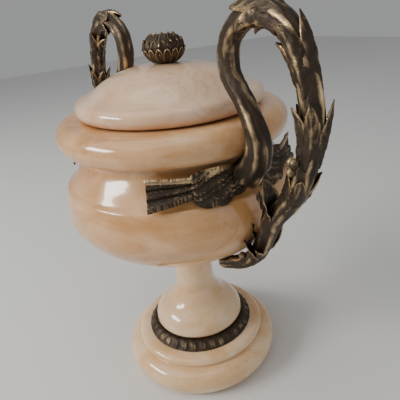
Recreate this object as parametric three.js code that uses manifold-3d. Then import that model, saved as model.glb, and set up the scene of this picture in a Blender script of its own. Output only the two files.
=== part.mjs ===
// Mantel urn: a turned onyx urn on a round foot, with a lift-off lid, a bronze collar, a bronze bud
// finial and two cast bronze handles shaped as laurel branches. Millimetres, +Z up. The origin is the
// centre of the foot's underside, and the handles stand on the X axis.

import * as THREE from 'three';
import { mergeVertices } from 'three/addons/utils/BufferGeometryUtils.js';
import Module from 'manifold-3d';

const wasm = await Module();
wasm.setup();

// Driving dimensions: heights above the table and radii from the urn's axis.
const gap = 0.3;
const footHeight = 42.3;
const footRadius = 82.8;
const footUnderside = 74;
const collarRadius = 57.2;
const collarHeight = 8;
const stemTop = 144.2;
const waistRadius = 19.5;
const bowlHeight = 135.8;
const bellyRadius = 106;
const neckRadius = 84;
const lipRadius = 100;
const mouthRadius = 68;
const lidRadius = 80.3;
const lidHeight = 36;
const finialRadius = 17.2;
const finialHeight = 22.5;
const branchRadius = 7.2;
const turnedSides = 32;

const onyx = new THREE.MeshStandardMaterial({ color: 0xc79a6b, roughness: 0.15, metalness: 0 });
const paleOnyx = new THREE.MeshStandardMaterial({ color: 0xe0c6a0, roughness: 0.15, metalness: 0 });
const bronze = new THREE.MeshStandardMaterial({ color: 0x6b5a45, roughness: 0.45, metalness: 0.9 });

const radians = THREE.MathUtils.degToRad;

// ---------------------------------------------------------------------------------------------
// Turned work

// Points of an ellipse's arc in a turned profile, angles in degrees from straight outward.
function arc(centreRadius, centreHeight, acrossRadius, upRadius, from, to, steps) {
  const points = [];
  for (let i = 0; i <= steps; i += 1) {
    const angle = radians(THREE.MathUtils.lerp(from, to, i / steps));
    points.push([centreRadius + acrossRadius * Math.cos(angle), centreHeight + upRadius * Math.sin(angle)]);
  }
  return points;
}

// Points of a smooth curve through a few turned sizes.
function smooth(points, steps) {
  const curve = new THREE.SplineCurve(points.map(([radius, height]) => new THREE.Vector2(radius, height)));
  return curve.getPoints(steps).map((point) => [point.x, point.y]);
}

function turned(profile, sides = turnedSides) {
  const points = profile.map(([radius, height]) => new THREE.Vector2(Math.max(radius, 0), height));
  const geometry = new THREE.LatheGeometry(points, sides);
  geometry.rotateX(Math.PI / 2);
  return geometry;
}

// Moves every vertex of a geometry by a rule that takes and returns a Vector3.
function reshape(geometry, rule) {
  const position = geometry.getAttribute('position');
  const point = new THREE.Vector3();
  for (let i = 0; i < position.count; i += 1) {
    rule(point.fromBufferAttribute(position, i));
    position.setXYZ(i, point.x, point.y, point.z);
  }
  return geometry;
}

// ---------------------------------------------------------------------------------------------
// Foot: a large roll on the table, a groove and a smaller roll.

function footGeometry() {
  const rollWidth = 15.8;
  const rollCentre = footRadius - rollWidth;
  const rollHeight = 19;
  return turned([
    [0, 0],
    [footUnderside, 0],
    ...arc(rollCentre, rollHeight, rollWidth, rollHeight, -60, 0, 2),
    ...arc(rollCentre, rollHeight, rollWidth, 14, 30, 78, 1),
    [67.4, 33.2],
    ...arc(60, footHeight - 5.6, 9.3, 5.6, -10, 90, 3),
    [0, footHeight],
  ]);
}

// ---------------------------------------------------------------------------------------------
// Collar: a sloping bronze band with a row of upright leaves, clamped round the stem's spigot.

const spigotRadius = 42;
const collarBase = footHeight + gap;
const collarTop = collarBase + collarHeight;

function collarGeometry() {
  const leaves = 24;
  const relief = 0.7;
  const inner = spigotRadius + gap;
  const shoulder = collarRadius - 6.8;
  const geometry = turned([
    [inner, collarBase],
    [collarRadius, collarBase],
    [collarRadius - 0.4, collarBase + 1.2],
    [shoulder + 1, collarTop - 1],
    [shoulder, collarTop],
    [inner, collarTop],
    [inner, collarBase],
  ], leaves * 2);
  return reshape(geometry, (point) => {
    const radius = Math.hypot(point.x, point.y);
    const onSlope = radius > shoulder + 0.5 && point.z > collarBase + 0.5;
    const angle = Math.atan2(point.y, point.x);
    const scale = onSlope ? (radius + relief * Math.cos(leaves * angle)) / radius : 1;
    point.set(point.x * scale, point.y * scale, point.z);
  });
}

// ---------------------------------------------------------------------------------------------
// Stem: a bell below, a narrow waist, and a small flare that carries the bowl.

function stemGeometry() {
  const bellBase = collarTop + gap;
  const bell = smooth([
    [47.4, bellBase + 3],
    [46.3, 60],
    [40.5, 68.5],
    [31, 76.5],
    [24.5, 85.5],
    [20.6, 96],
    [waistRadius, 110],
    [waistRadius, 129],
    [24, 139],
    [36, stemTop - 1.4],
  ], 11);
  return turned([
    [0, collarBase],
    [spigotRadius, collarBase],
    [spigotRadius, bellBase],
    [45.4, bellBase],
    ...bell,
    [36, stemTop],
    [0, stemTop],
  ], 28);
}

// ---------------------------------------------------------------------------------------------
// Bowl: a wide belly, a drawn-in neck and a thick rolled lip, bored out from the mouth.

const bowlBase = stemTop + gap;
const bowlTop = bowlBase + bowlHeight;
const lipWidth = 12;
const lipRise = 12.5;
const lipCentre = bowlTop - lipRise;

const bowlOutside = [
  [38, bowlBase],
  ...smooth([
    [41, bowlBase + 2],
    [66, bowlBase + 12.5],
    [92, bowlBase + 31.5],
    [104.5, bowlBase + 49.5],
    [bellyRadius, bowlBase + 64.5],
    [101, bowlBase + 81],
    [89.5, bowlBase + 94],
    [neckRadius, bowlBase + 104],
    [85.5, bowlBase + 111.5],
    [91, bowlBase + 115],
  ], 11),
  ...arc(lipRadius - lipWidth, lipCentre, lipWidth, lipRise, -50, 90, 4),
];

function bowlGeometry() {
  const wall = 10;
  const inside = smooth([
    [mouthRadius + 1, lipCentre],
    [neckRadius - wall, bowlBase + 104],
    [bellyRadius - wall, bowlBase + 66],
    [86, bowlBase + 40],
    [56, bowlBase + 17],
    [0, bowlBase + 10],
  ], 7);
  return turned([
    [0, bowlBase],
    ...bowlOutside,
    [lidRadius - 1, bowlTop],
    [mouthRadius, bowlTop],
    ...inside,
  ]);
}

// ---------------------------------------------------------------------------------------------
// Lid: a shallow dome with a rounded edge. A rim beneath it drops into the mouth.

const lidBase = bowlTop + gap;
const lidTop = lidBase + lidHeight;

function lidGeometry() {
  const rimRadius = mouthRadius - 1.5;
  const rimDepth = 6;
  const recess = rimRadius - 8;
  const edge = 8.3;
  return turned([
    [0, lidTop - 12],
    [30, lidTop - 14.5],
    [50, lidTop - 24],
    [recess, lidBase + 4],
    [recess, lidBase - rimDepth],
    [rimRadius, lidBase - rimDepth],
    [rimRadius, lidBase],
    ...arc(lidRadius - edge, lidBase + 7.5, edge, 7.5, -60, 60, 4),
    ...smooth([
      [67.5, lidBase + 17],
      [50, lidBase + 27.5],
      [28, lidBase + 33.8],
      [0, lidTop],
    ], 6),
  ]);
}

// ---------------------------------------------------------------------------------------------
// Finial: a squat bud with upright petals.

function finialGeometry() {
  const petals = 12;
  const relief = 0.9;
  const base = lidTop + gap;
  const seat = 12;
  const geometry = turned([
    [0, base],
    [seat, base],
    ...arc(0, base + finialHeight * 0.48, finialRadius, finialHeight * 0.52, -45, 75, 6),
    [0, base + finialHeight - 1],
  ], petals * 2);
  return reshape(geometry, (point) => {
    const radius = Math.hypot(point.x, point.y);
    const angle = Math.atan2(point.y, point.x);
    const scale = radius > seat + 0.1 ? (radius + relief * Math.cos(petals * angle)) / radius : 1;
    point.set(point.x * scale, point.y * scale, point.z);
  });
}

// ---------------------------------------------------------------------------------------------
// Handles: a laurel branch runs from a cuff on the neck up and over to the bowl's underside.

// The branch's route as radius and height, from the cuff to the cut end under the bowl.
const branchRoute = [
  [96, 243],
  [108, 257],
  [109.5, 274],
  [98, 296],
  [84.5, 315],
  [87, 335],
  [103, 347.5],
  [122, 350],
  [141, 339],
  [152.5, 317],
  [157.5, 293],
  [154.5, 266],
  [144.5, 241],
  [125, 216],
  [115, 195.5],
  [105, 177.5],
  [88, 161],
  [57, 144.5],
];
const branchTop = 350;
const branchRoot = 250;

// Leaves on the branch: where each springs, its bearing round the branch (0 faces out of the loop,
// 90 faces +Y), its length, width and the height that its tip stands off. They grow to the cuff.
const leafClusters = [
  { at: 0.40, length: 40, width: 9.5, lift: 2.5, bearings: [-143, -56, 37, 128] },
  { at: 0.50, length: 40, width: 9.5, lift: 2.5, bearings: [-104, -13, 77, 167] },
  { at: 0.605, length: 38, width: 8.0, lift: 4.0, bearings: [-127, -66, 2, 67, 142] },
  { at: 0.70, length: 33, width: 8.0, lift: 3.0, bearings: [-124, -37, 118] },
];
const looseLeaves = [
  { at: 0.755, bearing: -25, length: 30, width: 11, lift: 15 },
  { at: 0.835, bearing: 15, length: 34, width: 10, lift: 19 },
  { at: 0.85, bearing: 75, length: 24, width: 8, lift: 13 },
  { at: 0.875, bearing: -75, length: 30, width: 9, lift: 11 },
  { at: 0.86, bearing: -117, length: 22, width: 6, lift: 8 },
];
const berries = [
  { at: 0.600, bearing: -75, radius: 3.4 },
  { at: 0.608, bearing: -35, radius: 3.4 },
  { at: 0.618, bearing: -65, radius: 3.2 },
  { at: 0.885, bearing: -50, radius: 3.0 },
];

const weld = 1e-3;

function solid(geometry) {
  const bare = new THREE.BufferGeometry();
  bare.setAttribute('position', geometry.getAttribute('position').clone());
  if (geometry.index) {
    bare.setIndex(geometry.index.clone());
  }
  const merged = mergeVertices(bare, weld);
  return new wasm.Manifold(new wasm.Mesh({
    numProp: 3,
    vertProperties: new Float32Array(merged.getAttribute('position').array),
    triVerts: new Uint32Array(merged.index.array),
  }));
}

function geometryOf(manifold) {
  const mesh = manifold.getMesh();
  const geometry = new THREE.BufferGeometry();
  geometry.setAttribute('position', new THREE.BufferAttribute(new Float32Array(mesh.vertProperties), 3));
  geometry.setIndex(new THREE.BufferAttribute(new Uint32Array(mesh.triVerts), 1));
  return geometry.toNonIndexed();
}

// The branch's centre line in the plane of the handle, leaning in towards the lid by lean.
function branchCurve(lean) {
  const points = branchRoute.map(([radius, height]) => {
    const rise = Math.max(0, (height - branchRoot) / (branchTop - branchRoot));
    return new THREE.Vector3(radius - lean * rise, 0, height);
  });
  return new THREE.CatmullRomCurve3(points, false, 'centripetal');
}

function branchGirth(along) {
  const cuff = 4.2 * Math.exp(-((along / 0.07) ** 2));
  const taper = 1.9 * Math.max(0, (along - 0.8) / 0.2);
  return branchRadius + cuff - taper;
}

// The point at a fraction of the branch, at a bearing round it and a distance from its centre.
function onBranch(curve, along, bearing, distance, point) {
  const fraction = THREE.MathUtils.clamp(along, 0, 1);
  const centre = curve.getPointAt(fraction);
  const tangent = curve.getTangentAt(fraction);
  const outward = distance * Math.cos(bearing);
  return point.set(
    centre.x + tangent.z * outward,
    distance * Math.sin(bearing),
    centre.z - tangent.x * outward,
  );
}

const branchTwist = radians(130);

function branchSolid(curve) {
  const steps = 24;
  const geometry = new THREE.CylinderGeometry(1, 1, 1, 6, steps);
  return solid(reshape(geometry, (point) => {
    const along = 0.5 - point.y;
    const radius = Math.hypot(point.x, point.z);
    const bearing = Math.atan2(point.z, point.x) + branchTwist * along;
    onBranch(curve, along, bearing, radius * branchGirth(along), point);
  }));
}

function leafSolid(curve, { at, bearing, length, width, lift }) {
  const reach = length / curve.getLength();
  const thickness = 3.2;
  const droop = 3.4;
  const sunk = 2;
  const clear = 0.8;
  const geometry = new THREE.SphereGeometry(1, 4, 4);
  return solid(reshape(geometry, (point) => {
    const fraction = (1 - point.y) / 2;
    const level = Math.hypot(point.x, point.z);
    const outline = level * (1.15 - 0.3 * fraction);
    const along = at - fraction * reach;
    const middle = branchGirth(along) + clear + lift * fraction ** 2 - sunk * (1 - fraction);
    const aside = level > weld ? point.x / level : 0;
    const up = level > weld ? point.z / level : 0;
    const across = width * outline * aside;
    const distance = middle + outline * (thickness * up - droop * Math.abs(aside));
    onBranch(curve, along, radians(bearing) + across / middle, distance, point);
  }));
}

function berrySolid(curve, { at, bearing, radius }) {
  const centre = onBranch(curve, at, radians(bearing), branchGirth(at) + radius * 0.7, new THREE.Vector3());
  return solid(new THREE.IcosahedronGeometry(radius, 0).translate(centre.x, centre.y, centre.z));
}

// The radius of the bowl's outside at a height on its neck and belly.
function bowlRadiusAt(height) {
  const above = bowlOutside.findIndex(([, level]) => level > height);
  const [upperRadius, upper] = bowlOutside[above];
  const [lowerRadius, lower] = bowlOutside[above - 1];
  return THREE.MathUtils.mapLinear(height, lower, upper, lowerRadius, upperRadius);
}

// The bracket: on each side of the cuff, an acanthus leaf and a fluted end leaf against the neck.
const armReach = radians(45);
const armJoint = 0.58;
const armLow = 226;
const armHigh = 257;
const armTopRadius = 96.5;
const armFlare = 9.5;

// The radius of the bracket's face, which stands off the neck above and spreads with the belly below.
function armRadiusAt(height) {
  const drop = Math.max(0, (armHigh - height) / (armHigh - armLow));
  return armTopRadius + armFlare * drop ** 1.8;
}

function bracketSolid() {
  const geometry = new THREE.BoxGeometry(2, 1, 1, 22, 3, 1);
  return solid(reshape(geometry, (point) => {
    const along = Math.abs(point.x);
    const endLeaf = along > armJoint;
    const share = endLeaf ? (along - armJoint) / (1 - armJoint) : along / armJoint;
    const swell = endLeaf ? 0.55 + 0.45 * share : 0.42 + 0.58 * Math.sin(Math.PI * Math.min(1, share * 0.8));
    const lobes = endLeaf ? 0 : 2.2 * Math.abs(Math.sin(3 * Math.PI * share));
    const high = armHigh - 3 * along - (1 - swell) * 8;
    const low = armLow + 7 + (1 - swell) * 14 - lobes;
    const height = THREE.MathUtils.lerp(low, high, point.y + 0.5);
    const flute = 1.3 * Math.cos((point.y + 0.5) * 4 * Math.PI);
    const curl = endLeaf ? 2.5 * share ** 2 : 3 * Math.max(0, share - 0.6);
    const radius = point.z > 0 ? armRadiusAt(height) + flute + curl : bowlRadiusAt(height) + 2 * gap;
    const bearing = armReach * point.x;
    point.set(radius * Math.cos(bearing), radius * Math.sin(bearing), height);
  }));
}

// The space kept clear for the bowl, a little larger than its outside.
function bowlClearance() {
  const grown = bowlOutside.map(([radius, height]) => [radius + gap, height]);
  return solid(turned([
    [0, bowlBase - gap],
    [38 + gap, bowlBase - gap],
    ...grown.slice(1),
    [0, bowlTop],
  ]));
}

// The casting's one outer skin, without the small hollows that overlapping leaves close in.
function outerSkin(casting) {
  let skin = casting;
  let shells = [];
  do {
    shells = solid(geometryOf(skin)).decompose();
    skin = shells.reduce((largest, shell) => (shell.volume() > largest.volume() ? shell : largest));
  } while (shells.length > 1);
  return skin;
}

function handleGeometry(lean, turn) {
  const curve = branchCurve(lean);
  const leaves = leafClusters.flatMap(({ bearings, ...leaf }) => bearings.map((bearing) => ({ ...leaf, bearing })));
  const pieces = [
    branchSolid(curve),
    bracketSolid(),
    ...leaves.map((leaf) => leafSolid(curve, leaf)),
    ...looseLeaves.map((leaf) => leafSolid(curve, leaf)),
    ...berries.map((berry) => berrySolid(curve, berry)),
  ];
  const casting = pieces.reduce((whole, piece) => whole.add(piece)).subtract(bowlClearance());
  return geometryOf(outerSkin(casting)).rotateZ(turn);
}

// ---------------------------------------------------------------------------------------------

const urn = new THREE.Group();

function place(name, geometry, material) {
  const mesh = new THREE.Mesh(geometry, material);
  mesh.name = name;
  urn.add(mesh);
}

place('foot', footGeometry(), paleOnyx);
place('foot_ring', collarGeometry(), bronze);
place('stem', stemGeometry(), paleOnyx);
place('bowl', bowlGeometry(), onyx);
place('lid', lidGeometry(), onyx);
place('finial', finialGeometry(), bronze);
place('handle_right', handleGeometry(0, 0), bronze);
place('handle_left', handleGeometry(15, Math.PI), bronze);

export default urn;
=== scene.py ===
import math

import bmesh
import bpy
from mathutils import Matrix, Vector, noise
from mathutils.geometry import interpolate_bezier


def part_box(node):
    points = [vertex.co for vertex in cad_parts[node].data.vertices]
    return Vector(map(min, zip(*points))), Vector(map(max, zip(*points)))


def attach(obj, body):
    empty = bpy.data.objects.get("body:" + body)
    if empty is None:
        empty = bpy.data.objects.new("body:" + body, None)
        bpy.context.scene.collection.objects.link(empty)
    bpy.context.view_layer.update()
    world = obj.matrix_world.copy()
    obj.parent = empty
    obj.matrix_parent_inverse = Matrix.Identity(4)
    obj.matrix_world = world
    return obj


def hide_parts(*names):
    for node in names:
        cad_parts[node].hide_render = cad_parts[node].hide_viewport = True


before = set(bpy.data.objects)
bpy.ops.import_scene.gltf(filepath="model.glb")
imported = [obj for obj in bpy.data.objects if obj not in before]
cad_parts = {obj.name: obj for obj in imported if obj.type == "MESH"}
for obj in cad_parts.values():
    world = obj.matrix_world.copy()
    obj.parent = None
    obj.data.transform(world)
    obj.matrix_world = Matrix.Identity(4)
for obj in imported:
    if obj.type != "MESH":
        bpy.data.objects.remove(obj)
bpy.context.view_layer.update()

# Camera: stands in front of the right-hand handle, a little above the lid, and looks down on the urn.
# Its lens is a 36 mm one on a 36 mm wide sensor, and it leans slightly to one side.
camera_reach = 0.3566
camera_height = 0.3569
camera_bearing = math.radians(60)
camera_heading = camera_bearing - 0.0918
camera_dip = 0.4990
camera_lean = -0.0928

lens = bpy.data.cameras.new("camera")
lens.lens = 36
lens.sensor_width = 36
lens.shift_x = -0.05
lens.shift_y = 0.05
camera = bpy.data.objects.new("camera", lens)
camera.matrix_world = (
    Matrix.Translation((
        camera_reach * math.sin(camera_bearing),
        -camera_reach * math.cos(camera_bearing),
        camera_height,
    ))
    @ Matrix.Rotation(camera_heading, 4, "Z")
    @ Matrix.Rotation(math.pi / 2 - camera_dip, 4, "X")
    @ Matrix.Rotation(camera_lean, 4, "Z")
)
bpy.context.collection.objects.link(camera)
bpy.context.scene.camera = camera


# Studio: a tall window-like panel to the left, a broad weak one overhead and a low fill to the right.
def soft_light(name, bearing, reach, height, size, power, colour):
    light = bpy.data.lights.new(name, "AREA")
    light.shape = "RECTANGLE"
    light.size, light.size_y = size
    light.energy = power
    light.color = colour
    holder = bpy.data.objects.new(name, light)
    place = Vector((reach * math.sin(bearing), -reach * math.cos(bearing), height))
    aim = Vector((0, 0, 0.18)) - place
    holder.matrix_world = Matrix.Translation(place) @ aim.to_track_quat("-Z", "Y").to_matrix().to_4x4()
    bpy.context.collection.objects.link(holder)


soft_light("window", math.radians(-18), 1.5, 0.95, (0.75, 0.30), 20, (1.0, 0.98, 0.95))
soft_light("overhead", math.radians(-10), 0.5, 1.6, (1.6, 1.6), 11, (1.0, 0.99, 0.97))
soft_light("fill", math.radians(110), 1.5, 0.5, (1.2, 0.8), 2, (0.95, 0.97, 1.0))

world = bpy.data.worlds.new("room")
world.use_nodes = True
world.node_tree.nodes["Background"].inputs["Color"].default_value = (0.78, 0.79, 0.80, 1)
world.node_tree.nodes["Background"].inputs["Strength"].default_value = 0.42
bpy.context.scene.world = world


# Floor: a plain pale slab, not part of the urn.
def mesh_object(name, shape, material):
    mesh = bpy.data.meshes.new(name)
    shape.to_mesh(mesh)
    shape.free()
    mesh.shade_smooth()
    made = bpy.data.objects.new(name, mesh)
    made.data.materials.append(material)
    bpy.context.collection.objects.link(made)
    return made


floor_paint = bpy.data.materials.new("pale_floor")
floor_paint.use_nodes = True
floor_paint.node_tree.nodes["Principled BSDF"].inputs["Base Color"].default_value = (0.72, 0.72, 0.71, 1)
floor_paint.node_tree.nodes["Principled BSDF"].inputs["Roughness"].default_value = 0.7
slab = bmesh.new()
bmesh.ops.create_grid(slab, x_segments=1, y_segments=1, size=3)
mesh_object("floor", slab, floor_paint)


# Foot: one turned block of cream onyx, a large roll on the table, a groove and a smaller roll above,
# polished all over. The band in the groove is darker honey, as the stone is where light doesn't reach.
class Tone:
    """A changing value in a finish: arithmetic on it adds Math nodes."""

    def __init__(self, finish, socket):
        self.finish = finish
        self.socket = socket

    def math(self, operation, first, second=0.0):
        return self.finish.node("ShaderNodeMath", {"operation": operation}, {0: first, 1: second})

    def __add__(self, other):
        return self.math("ADD", self, other)

    __radd__ = __add__

    def __sub__(self, other):
        return self.math("SUBTRACT", self, other)

    def __rsub__(self, other):
        return self.math("SUBTRACT", other, self)

    def __mul__(self, other):
        return self.math("MULTIPLY", self, other)

    __rmul__ = __mul__


class Finish:
    """A material whose Principled sockets are fed by plain values or by Tones."""

    def __init__(self, name, plain):
        self.material = bpy.data.materials.new(name)
        self.material.use_nodes = True
        self.tree = self.material.node_tree
        self.shader = self.tree.nodes["Principled BSDF"]
        self.feed(self.shader, plain)
        self.place = self.node("ShaderNodeTexCoord", {}, {}, "Object")

    def feed(self, node, inputs):
        for name, value in inputs.items():
            if isinstance(value, Tone):
                self.tree.links.new(value.socket, node.inputs[name])
            else:
                node.inputs[name].default_value = value

    def node(self, kind, settings, inputs, output=0):
        made = self.tree.nodes.new(kind)
        for name, value in settings.items():
            setattr(made, name, value)
        self.feed(made, inputs)
        return Tone(self, made.outputs[output])

    def grain(self, scale, detail, roughness=0.55, distortion=0.0, stretch=(1, 1, 1)):
        """Noise over the object from 0 to 1; stretch squeezes it along an axis."""
        spread = self.node("ShaderNodeVectorMath", {"operation": "MULTIPLY"}, {0: self.place, 1: stretch})
        inputs = {"Vector": spread, "Scale": scale, "Detail": detail, "Roughness": roughness,
                  "Distortion": distortion}
        return self.node("ShaderNodeTexNoise", {}, inputs)

    def ease(self, value, low, high):
        """0 below low, 1 above high, and smooth between."""
        return self.node("ShaderNodeMapRange", {"interpolation_type": "SMOOTHSTEP"},
                         {"Value": value, "From Min": low, "From Max": high})

    def mix(self, amount, first, second):
        return self.node("ShaderNodeMix", {"data_type": "RGBA"}, {0: amount, 6: first, 7: second}, 2)

    def bump(self, height, depth, strength):
        return self.node("ShaderNodeBump", {}, {"Height": height, "Distance": depth, "Strength": strength})


def onyx(name, pale, warm, deep, banding):
    """Polished onyx: drifting clouds of a pale and a warm tone, faint bands, and thin deep veins."""
    stone = Finish(name, {
        "IOR": 1.5,
        "Subsurface Weight": 0.15,
        "Subsurface Radius": (0.012, 0.007, 0.004),
        "Subsurface Scale": 1.0,
        "Coat Roughness": 0.03,
        "Coat IOR": 1.5,
    })
    clouds = stone.grain(16, 5, 0.6, 0.8, (1, 1, 1.5))
    drift = stone.grain(6, 3, 0.5, 1.2, (1, 1, banding))
    speck = stone.grain(260, 3)
    vein_field = stone.grain(9, 6, 0.6, 1.6, (1, 1, 1.8))
    from_middle = stone.node("ShaderNodeMath", {"operation": "ABSOLUTE"}, {0: vein_field - 0.5})
    vein = 1 - stone.ease(from_middle, 0.0, 0.022)
    body = stone.mix(stone.ease(clouds, 0.36, 0.66), pale, warm)
    body = stone.mix(stone.ease(drift, 0.45, 0.75) * 0.55, body, warm)
    body = stone.mix(vein * stone.ease(drift, 0.4, 0.7) * 0.35, body, deep)
    body = stone.mix(stone.ease(speck, 0.55, 0.8) * 0.12, body, deep)
    polish = 0.13 + 0.07 * clouds + 0.04 * speck
    stone.feed(stone.shader, {
        "Base Color": body,
        "Roughness": polish,
        "Coat Weight": 0.35 + 0.2 * clouds,
        "Normal": stone.bump(clouds, 0.0004, 0.35),
    })
    return stone.material


pale_onyx = onyx("pale_onyx", (0.86, 0.64, 0.41, 1), (0.74, 0.46, 0.22, 1), (0.50, 0.24, 0.09, 1), 4)


def arc(centre, reach, first, last, steps):
    """Points of an ellipse's arc in a turned outline, in degrees from straight outward."""
    turns = [math.radians(first + (last - first) * step / steps) for step in range(steps + 1)]
    return [(centre[0] + reach[0] * math.cos(turn), centre[1] + reach[1] * math.sin(turn)) for turn in turns]


def flow(points, steps):
    """Points of a smooth curve through a few turned sizes."""
    knots = [Vector(point) for point in points]
    ends = [2 * knots[0] - knots[1]] + knots + [2 * knots[-1] - knots[-2]]
    curve = []
    for before, start, end, after in zip(ends, ends[1:], ends[2:], ends[3:]):
        leave = start + (end - before) / 6
        arrive = end - (after - start) / 6
        curve += interpolate_bezier(start, leave, arrive, end, steps + 1)[:-1]
    return [tuple(point) for point in curve + [knots[-1]]]


def turned(name, outline, material, node, steps=144):
    """A closed shape turned on the urn's axis from an outline of radius and height."""
    shape = bmesh.new()
    corners = [shape.verts.new((radius, 0, height)) for radius, height in outline]
    for start, end in zip(corners, corners[1:]):
        shape.edges.new((start, end))
    if outline[0][0] > 0:
        shape.edges.new((corners[-1], corners[0]))
    bmesh.ops.spin(shape, geom=shape.verts[:] + shape.edges[:], cent=(0, 0, 0), axis=(0, 0, 1),
                   angle=2 * math.pi, steps=steps, use_merge=True)
    bmesh.ops.remove_doubles(shape, verts=shape.verts, dist=1e-6)
    bmesh.ops.recalc_face_normals(shape, faces=shape.faces)
    piece = mesh_object(name, shape, material)
    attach(piece, "root")
    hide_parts(node)
    return piece


foot_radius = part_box("foot")[1].x
foot_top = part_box("foot")[1].z
roll = 0.0158
turned("onyx_foot", [
    (0, 0),
    (0.0735, 0),
    (0.0742, 0.0006),
    *arc((foot_radius - roll, 0.019), (roll, 0.019), -60, 0, 10),
    *arc((foot_radius - roll, 0.019), (roll, 0.014), 6, 80, 12),
    (0.0683, 0.0325),
    (0.0676, 0.0332),
    *arc((0.060, foot_top - 0.0056), (0.0093, 0.0056), -22, 90, 14),
    (0, foot_top),
], pale_onyx, "foot")


# Stem: turned from the same cream onyx, a bell below, a narrow waist and a small flare under the bowl.
stem_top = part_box("stem")[1].z
collar_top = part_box("foot_ring")[1].z
turned("onyx_stem", [
    (0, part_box("stem")[0].z),
    (0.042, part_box("stem")[0].z),
    (0.042, collar_top + 0.0003),
    (0.0446, collar_top + 0.0003),
    *arc((0.0440, collar_top + 0.0038), (0.0034, 0.0035), -80, -5, 6),
    *flow([(0.0474, 0.054), (0.0463, 0.060), (0.0405, 0.0685), (0.031, 0.0765), (0.0245, 0.0855),
           (0.0206, 0.096), (0.0195, 0.110), (0.0195, 0.129), (0.024, 0.139),
           (0.0355, stem_top - 0.0018)], 7),
    (0.036, stem_top - 0.001),
    (0.036, stem_top),
    (0, stem_top),
], pale_onyx, "stem")


# Bowl: turned and bored out of honey onyx, with a wide belly, a drawn-in neck and a thick rolled lip.
honey_onyx = onyx("honey_onyx", (0.76, 0.47, 0.24, 1), (0.60, 0.30, 0.11, 1), (0.36, 0.13, 0.04, 1), 3)
bowl_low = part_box("bowl")[0].z
bowl_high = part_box("bowl")[1].z
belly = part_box("bowl")[1].y
lip_reach = 0.100
lip_level = bowl_high - 0.0125
bowl_outside = [
    (0.038, bowl_low),
    (0.0393, bowl_low + 0.0006),
    (0.0404, bowl_low + 0.0016),
    *flow([(0.041, bowl_low + 0.002), (0.066, bowl_low + 0.0125), (0.092, bowl_low + 0.0315),
           (0.1045, bowl_low + 0.0495), (belly - 0.0008, bowl_low + 0.0645), (0.101, bowl_low + 0.081)], 9),
    (0.0996, bowl_low + 0.0825),
    (0.0978, bowl_low + 0.0831),
    *flow([(0.0966, bowl_low + 0.0846), (0.0895, bowl_low + 0.094), (0.084, bowl_low + 0.104),
           (0.0855, bowl_low + 0.1115), (0.091, bowl_low + 0.115)], 8),
    *arc((lip_reach - 0.012, lip_level), (0.012, 0.0125), -50, 90, 20),
]
turned("onyx_bowl", [
    (0, bowl_low),
    *bowl_outside,
    (0.079, bowl_high),
    (0.069, bowl_high),
    (0.068, bowl_high - 0.001),
    *flow([(0.069, lip_level), (0.074, bowl_low + 0.104), (0.096, bowl_low + 0.066),
           (0.086, bowl_low + 0.040), (0.056, bowl_low + 0.017), (0, bowl_low + 0.010)], 7),
], honey_onyx, "bowl")


# Lid: a shallow dome of pinker onyx with a rounded edge, hollow beneath. A rim drops into the mouth.
rose_onyx = onyx("rose_onyx", (0.82, 0.60, 0.42, 1), (0.72, 0.44, 0.25, 1), (0.48, 0.24, 0.12, 1), 2)
lid_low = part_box("lid")[0].z
lid_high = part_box("lid")[1].z
lid_seat = bowl_high + 0.0003
turned("onyx_lid", [
    (0, lid_high - 0.012),
    *flow([(0.012, lid_high - 0.0124), (0.030, lid_high - 0.0145), (0.050, lid_high - 0.024)], 4),
    (0.0585, lid_seat + 0.004),
    (0.0585, lid_low),
    (0.0665, lid_low),
    (0.0665, lid_seat),
    *arc((0.072, lid_seat + 0.0075), (0.0083, 0.0075), -72, 62, 18),
    *flow([(0.0675, lid_seat + 0.017), (0.050, lid_seat + 0.0275),
           (0.028, lid_seat + 0.0338), (0, lid_high)], 8),
], rose_onyx, "lid")


# Collar: a cast bronze band with a row of upright leaves, clamped between the foot and the stem.
# The bronze is antiqued: dark in its hollows and rubbed bright on what stands up. The berries also carry a
# painted highlight, brighter on top and darker underneath.
def antique_bronze():
    bronze = Finish("antique_bronze", {"IOR": 1.5, "Coat Roughness": 0.2})
    # The layer read here holds real wear on raised relief and, on the berries, a painted highlight on their
    # tops.
    rubbed_and_lit = bronze.node("ShaderNodeAttribute", {"attribute_name": "rubbed_and_lit"}, {}, "Fac")
    soot = bronze.grain(70, 4, 0.6)
    grit = bronze.grain(900, 3)
    patches = bronze.grain(38, 5, 0.65, 0.6)
    wear_and_lit = bronze.ease(rubbed_and_lit + 0.9 * (patches - 0.5) + 0.4 * (soot - 0.5) + 0.25 * (grit - 0.5), 0.40, 0.95)
    dark = bronze.mix(soot, (0.018, 0.013, 0.010, 1), (0.085, 0.058, 0.036, 1))
    bright = bronze.mix(bronze.ease(patches, 0.35, 0.65), (0.40, 0.27, 0.16, 1), (0.66, 0.48, 0.26, 1))
    bronze.feed(bronze.shader, {
        "Base Color": bronze.mix(wear_and_lit, dark, bright),
        "Metallic": 0.65 + 0.35 * wear_and_lit,
        "Roughness": 0.50 - 0.20 * wear_and_lit + 0.12 * (grit - 0.5),
        "Normal": bronze.bump(grit + 2 * soot + 3 * patches, 0.0003, 0.7),
    })
    return bronze.material


bronze = antique_bronze()


def rub_and_lit_layer(shape):
    """The layer that says how far each point of a casting stands up and is rubbed bright, 0 to 1; on the
    berries it also holds a painted highlight, brighter towards the top.
    """
    return shape.verts.layers.float.get("rubbed_and_lit") or shape.verts.layers.float.new("rubbed_and_lit")


def casting(name, shape, node):
    piece = mesh_object(name, shape, bronze)
    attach(piece, "root")
    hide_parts(node)
    return piece


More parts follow.
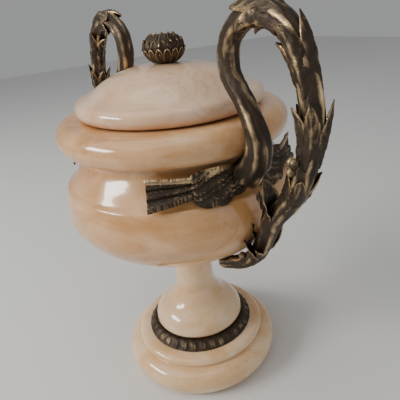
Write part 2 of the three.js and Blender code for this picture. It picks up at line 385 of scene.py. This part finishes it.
collar_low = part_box("foot_ring")[0].z
collar_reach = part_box("foot_ring")[1].x
collar_leaves = 34
collar_rows = 16
collar_shoulder = collar_reach - 0.0072
collar = bmesh.new()
collar_bore = 0.0423
collar_relief = 0.0010
slope_start = Vector((collar_reach - 0.0009, collar_low + 0.0006))
slope_end = Vector((collar_shoulder, collar_top))
slope = [tuple(slope_start.lerp(slope_end, row / collar_rows)) for row in range(collar_rows + 1)]
collar_outline = [
    (collar_bore, collar_low),
    (collar_reach - 0.0007, collar_low),
    *slope,
    (collar_bore, collar_top),
]
collar_ring = [collar.verts.new((radius, 0, height)) for radius, height in collar_outline]
for start, end in zip(collar_ring, collar_ring[1:] + collar_ring[:1]):
    collar.edges.new((start, end))
bmesh.ops.spin(collar, geom=collar.verts[:] + collar.edges[:], cent=(0, 0, 0), axis=(0, 0, 1),
               angle=2 * math.pi, steps=collar_leaves * 10, use_merge=True)
bmesh.ops.remove_doubles(collar, verts=collar.verts, dist=1e-6)
bmesh.ops.recalc_face_normals(collar, faces=collar.faces)
rub_and_lit = rub_and_lit_layer(collar)
for vert in collar.verts:
    radius = math.hypot(vert.co.x, vert.co.y)
    rise = (vert.co.z - collar_low) / (collar_top - collar_low)
    if radius < collar_shoulder - 1e-5 or rise < 0.02:
        continue
    turn = math.atan2(vert.co.y, vert.co.x) * collar_leaves / (2 * math.pi)
    aside = abs(turn - round(turn)) * 2
    width = 0.30 + 0.62 * math.sin(math.pi * min(1, rise * 0.95)) ** 0.8
    leaf = max(0, 1 - (aside / width) ** 2)
    rib = math.exp(-((aside / 0.12) ** 2))
    bead = max(0, 1 - ((rise - 0.06) / 0.07) ** 2)
    relief = collar_relief * leaf - 0.0004 * rib * leaf + 0.0007 * bead
    border = math.sin(math.pi * min(1, max(0, (rise - 0.02) / 0.98))) ** 0.3
    relief *= border
    outward = Vector((vert.co.x / radius, vert.co.y / radius, 0.75)).normalized()
    vert.co += outward * (relief - 0.0004)
    vert[rub_and_lit] = 0.05 + 0.55 * min(1, relief / collar_relief)
casting("bronze_collar", collar, "foot_ring")


# Finial: a cast bronze bud on the lid, three rows of overlapping hollowed petals round a closed tip.
finial_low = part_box("finial")[0].z
finial_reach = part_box("finial")[1].x - 0.0014
finial_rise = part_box("finial")[1].z - finial_low


def bud_radius(share):
    """The bud's radius at a share of its height, before the petals."""
    across = (share - 0.50) / 0.56
    return finial_reach * math.sqrt(max(0, 1 - across * across)) * (0.93 if share < 0.5 else 0.95)


bud = bmesh.new()
bud_rows = 24
bud_turns = 64
bmesh.ops.create_uvsphere(bud, u_segments=bud_turns, v_segments=bud_rows, radius=1)
rub_and_lit = rub_and_lit_layer(bud)
for vert in bud.verts:
    share = 0.5 + vert.co.z / 2
    flat = math.hypot(vert.co.x, vert.co.y)
    reach = bud_radius(0.02 + 0.96 * share) * min(1, flat * 6)
    vert.co = (
        vert.co.x / max(flat, 1e-6) * reach,
        vert.co.y / max(flat, 1e-6) * reach,
        finial_low + finial_rise * 0.94 * share,
    )
    vert[rub_and_lit] = 0.1
petal_thickness = 0.0007
# Each row's first and last share of the height, its petals, their offset and how far they stand off.
petal_rows = [
    (0.02, 0.50, 16, 0.0, 0.0012),
    (0.22, 0.80, 16, 0.5, 0.0008),
    (0.52, 0.98, 12, 0.0, 0.0004),
]
for first, last, count, offset, stand in petal_rows:
    for petal in range(count):
        bearing = 2 * math.pi * (petal + offset) / count
        leaf = bmesh.new()
        bmesh.ops.create_grid(leaf, x_segments=6, y_segments=8, size=1)
        rub_and_lit = rub_and_lit_layer(leaf)
        for vert in leaf.verts:
            aside, share = vert.co.x, (vert.co.y + 1) / 2
            tip = max(0, share * 1.02 - 0.3) ** 2 / 0.52
            width = math.pi / count * 1.02 * min(1, 0.75 + share) * math.sqrt(max(0.0, 1 - tip))
            rise = first + (last - first) * share
            edge = aside * aside
            turn = bearing + aside * width
            radius = bud_radius(rise) + stand + 0.0007 * edge + 0.0006 * share ** 4
            vert.co = (radius * math.cos(turn), radius * math.sin(turn), finial_low + finial_rise * rise)
            vert[rub_and_lit] = 0.05 + 0.55 * edge ** 1.5 + 0.3 * share ** 4
        bmesh.ops.solidify(leaf, geom=leaf.faces[:], thickness=petal_thickness)
        bmesh.ops.recalc_face_normals(leaf, faces=leaf.faces)
        patch = bpy.data.meshes.new("petal")
        leaf.to_mesh(patch)
        leaf.free()
        bud.from_mesh(patch)
        bpy.data.meshes.remove(patch)
casting("bronze_finial", bud, "finial")


# Handles: each is one bronze casting. A laurel branch springs from the neck as a bare limb, turns over
# above the lid and comes down the outside in leaves and berries to a cut end under the bowl. A
# bracket of acanthus leaves holds it to the neck. The two aren't quite alike: the left leans inward.
branch_route = [
    (0.096, 0.243), (0.108, 0.257), (0.1095, 0.274), (0.098, 0.296), (0.0845, 0.315), (0.087, 0.335),
    (0.103, 0.3475), (0.122, 0.350), (0.141, 0.339), (0.1525, 0.317), (0.1575, 0.293), (0.1545, 0.266),
    (0.1445, 0.241), (0.125, 0.216), (0.115, 0.1955), (0.105, 0.1775), (0.088, 0.161), (0.057, 0.1445),
]
# Where each cluster springs as a share of the branch, the leaves' length, width and how far their tips
# stand off, and their bearings round the branch in degrees. A bearing of 0 faces out of the loop.
leaf_clusters = [
    (0.40, 0.040, 0.0095, 0.0025, (-143, -56, 37, 128)),
    (0.50, 0.040, 0.0095, 0.0025, (-104, -13, 77, 167)),
    (0.605, 0.038, 0.0080, 0.0040, (-127, -66, 2, 67, 142)),
    (0.70, 0.033, 0.0080, 0.0030, (-124, -37, 118)),
    (0.755, 0.030, 0.0110, 0.0150, (-25,)),
    (0.835, 0.034, 0.0100, 0.0190, (15,)),
    (0.85, 0.024, 0.0080, 0.0130, (75,)),
    (0.875, 0.030, 0.0090, 0.0110, (-75,)),
    (0.86, 0.022, 0.0060, 0.0080, (-117,)),
]
# Each berry's share of the branch, bearing and radius.
berry_places = [
    (0.600, -75, 0.0034), (0.608, -35, 0.0034), (0.618, -65, 0.0032), (0.885, -50, 0.0030),
]


class Branch:
    """A branch's centre line in the handle's plane, measured evenly along its length from 0 to 1."""

    def __init__(self, lean):
        leant = [(radius - lean * max(0, (height - 0.25) / 0.1), height) for radius, height in branch_route]
        self.line = [Vector(point) for point in flow(leant, 12)]
        self.marks = [0.0]
        for start, end in zip(self.line, self.line[1:]):
            self.marks.append(self.marks[-1] + (end - start).length)
        self.length = self.marks[-1]

    def centre(self, along):
        reach = min(max(along, 0.0), 1.0) * self.length
        span = max(index for index, mark in enumerate(self.marks[:-1]) if mark <= reach)
        share = (reach - self.marks[span]) / (self.marks[span + 1] - self.marks[span])
        return self.line[span].lerp(self.line[span + 1], share)

    def heading(self, along):
        return (self.centre(along + 0.012) - self.centre(along - 0.012)).normalized()

    def girth(self, along):
        cuff = 0.0042 * math.exp(-((along / 0.07) ** 2))
        return 0.0072 + cuff - 0.0019 * max(0.0, (along - 0.8) / 0.2)

    def place(self, along, bearing, distance):
        centre = self.centre(along)
        heading = self.heading(along)
        outward = distance * math.cos(bearing)
        return Vector((
            centre.x + heading.y * outward,
            distance * math.sin(bearing),
            centre.y - heading.x * outward,
        ))


def add_shell(whole, part):
    """Turns a part's faces outward and joins it to the rest of a casting."""
    bmesh.ops.recalc_face_normals(part, faces=part.faces)
    patch = bpy.data.meshes.new("shell")
    part.to_mesh(patch)
    part.free()
    whole.from_mesh(patch)
    bpy.data.meshes.remove(patch)


def add_limb(whole, branch):
    rows, sides = 220, 40
    limb = bmesh.new()
    bmesh.ops.create_cone(limb, cap_ends=True, segments=sides, radius1=1, radius2=1, depth=2)
    long_edges = [edge for edge in limb.edges if abs(edge.verts[0].co.z - edge.verts[1].co.z) > 1]
    bmesh.ops.subdivide_edges(limb, edges=long_edges, cuts=rows)
    rub_and_lit = rub_and_lit_layer(limb)
    for vert in limb.verts:
        along = (vert.co.z + 1) / 2
        bearing = math.atan2(vert.co.y, vert.co.x)
        twisted = bearing + 5.0 * along
        cuff = math.exp(-((along / 0.09) ** 2))
        coarse = abs(math.cos(2 * twisted + 9 * along))
        fine = abs(math.cos(3.5 * twisted - 14 * along))
        ridge = 0.5 * coarse + 0.5 * fine - 0.5
        bark = noise.fractal(Vector((2 * math.cos(twisted), 2 * math.sin(twisted), 34 * along)), 0.8, 2, 4)
        height = ridge * (0.0013 + 0.0020 * cuff) + 0.0006 * bark
        vert.co = branch.place(along, bearing, branch.girth(along) + height)
        vert[rub_and_lit] = 0.30 + 0.9 * ridge + 0.35 * bark
    add_shell(whole, limb)


leaf_thickness = 0.0012
leaf_gap = 0.0010
leaf_sunk = 0.0015
rib_height = 0.0009
vein_height = 0.0003
wave_height = 0.0012


def add_leaf(whole, branch, at, bearing, length, width, lift):
    """A pointed leaf that springs at a share of the branch and grows towards the cuff."""
    leaf = bmesh.new()
    bmesh.ops.create_grid(leaf, x_segments=14, y_segments=24, size=1)
    rub_and_lit = rub_and_lit_layer(leaf)
    reach = length / branch.length
    for vert in leaf.verts:
        aside, share = vert.co.x, (vert.co.y + 1) / 2
        outline = max(0.03, math.sin(math.pi * min(1, 0.10 + 0.90 * share) ** 0.85) ** 0.75)
        rib = math.exp(-((aside / 0.10) ** 2)) * (1 - 0.6 * share)
        vein = math.cos(2 * math.pi * (5 * share - 1.6 * abs(aside)))
        vein *= min(1, 4 * abs(aside)) * (1 - abs(aside) ** 3)
        along = at - share * reach
        middle = branch.girth(along) + leaf_gap + lift * share ** 2 - leaf_sunk * (1 - share)
        sag = (0.0030 - (0.0055 if lift > 0.01 else 0) * share) * outline * abs(aside) ** 1.6
        wave = noise.noise(Vector((9 * share, 3 * aside, bearing)))
        distance = middle + 0.0009 * outline - sag + rib_height * rib
        distance += (vein_height * vein + wave_height * wave) * outline
        angle = math.radians(bearing) + width * outline * aside / middle
        vert.co = branch.place(along, angle, distance)
        vert[rub_and_lit] = 0.12 + 0.45 * rib + 0.15 * vein + 0.55 * abs(aside) ** 4 + 0.35 * share
    bmesh.ops.solidify(leaf, geom=leaf.faces[:], thickness=leaf_thickness)
    add_shell(whole, leaf)


def add_berry(whole, branch, at, bearing, radius):
    berry = bmesh.new()
    bmesh.ops.create_icosphere(berry, subdivisions=3, radius=radius)
    bmesh.ops.translate(berry, verts=berry.verts,
                        vec=branch.place(at, math.radians(bearing), branch.girth(at) + radius * 0.7))
    rub_and_lit = rub_and_lit_layer(berry)
    # Painted highlight: each berry's value climbs with height, so its top is brighter and its underside
    # darker, as if lit from above.
    for vert in berry.verts:
        vert[rub_and_lit] = 0.55 + 40 * (vert.co.z - branch.place(at, math.radians(bearing), 0.0).z)
    add_shell(whole, berry)


arm_joint = 0.58
arm_high = 0.257
arm_low = 0.233
arm_thickness = 0.0040
arm_reach = math.radians(45)


def add_bracket(whole, side):
    """One side of the bracket: an acanthus leaf by the branch, then a fluted leaf with a square end."""
    arm = bmesh.new()
    bmesh.ops.create_grid(arm, x_segments=90, y_segments=40, size=1)
    rub_and_lit = rub_and_lit_layer(arm)
    for vert in arm.verts:
        along, up = (vert.co.x + 1) / 2, (vert.co.y + 1) / 2
        if along > arm_joint:
            share = (along - arm_joint) / (1 - arm_joint)
            swell = 0.55 + 0.45 * share
            fold = math.cos(2 * math.pi * 3 * up)
            lobe = 0.0
            curl = 0.0022 * share ** 2
        else:
            share = along / arm_joint
            swell = 0.42 + 0.58 * math.sin(math.pi * min(1, share * 0.8))
            fold = math.cos(2 * math.pi * (2.2 * up + 1.5 * share))
            lobe = 0.0022 * abs(math.sin(3 * math.pi * share))
            curl = 0.003 * max(0, share - 0.6)
        high = arm_high - 0.003 * along - (1 - swell) * 0.008
        low = arm_low + (1 - swell) * 0.014 - lobe
        height = low + (high - low) * up
        rim = max(0, up - 0.86) / 0.14
        grit = noise.noise(Vector((60 * along, 24 * up, side * 7)))
        face = 0.0957 + 0.0095 * max(0.0, (arm_high - height) / 0.031) ** 1.8
        radius = face + 0.0011 * fold + curl + 0.0010 * rim + 0.0009 * grit
        turn = side * arm_reach * along
        vert.co = (radius * math.cos(turn), radius * math.sin(turn), height)
        vert[rub_and_lit] = 0.22 + 0.30 * fold + 0.5 * rim + 0.5 * grit
    bmesh.ops.solidify(arm, geom=arm.faces[:], thickness=arm_thickness)
    add_shell(whole, arm)


def add_handle(name, node, lean, turn):
    branch = Branch(lean)
    handle = bmesh.new()
    rub_and_lit_layer(handle)
    add_limb(handle, branch)
    for at, length, width, lift, bearings in leaf_clusters:
        for bearing in bearings:
            add_leaf(handle, branch, at, bearing, length, width, lift)
    for at, bearing, radius in berry_places:
        add_berry(handle, branch, at, bearing, radius)
    for side in (-1, 1):
        add_bracket(handle, side)
    bmesh.ops.rotate(handle, verts=handle.verts, cent=(0, 0, 0), matrix=Matrix.Rotation(turn, 3, "Z"))
    low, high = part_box(node)
    inset = 0.0001
    settled = 0.3
    highest = max(vert.co.z for vert in handle.verts)
    sink = max(0.0, highest - high.z + inset)
    for vert in handle.verts:
        vert.co.x = min(max(vert.co.x, low.x + inset), high.x - inset)
        vert.co.z -= sink * max(0.0, (vert.co.z - settled) / (highest - settled))
    casting(name, handle, node)


add_handle("bronze_handle_right", "handle_right", 0.0, 0.0)
add_handle("bronze_handle_left", "handle_left", 0.015, math.pi)
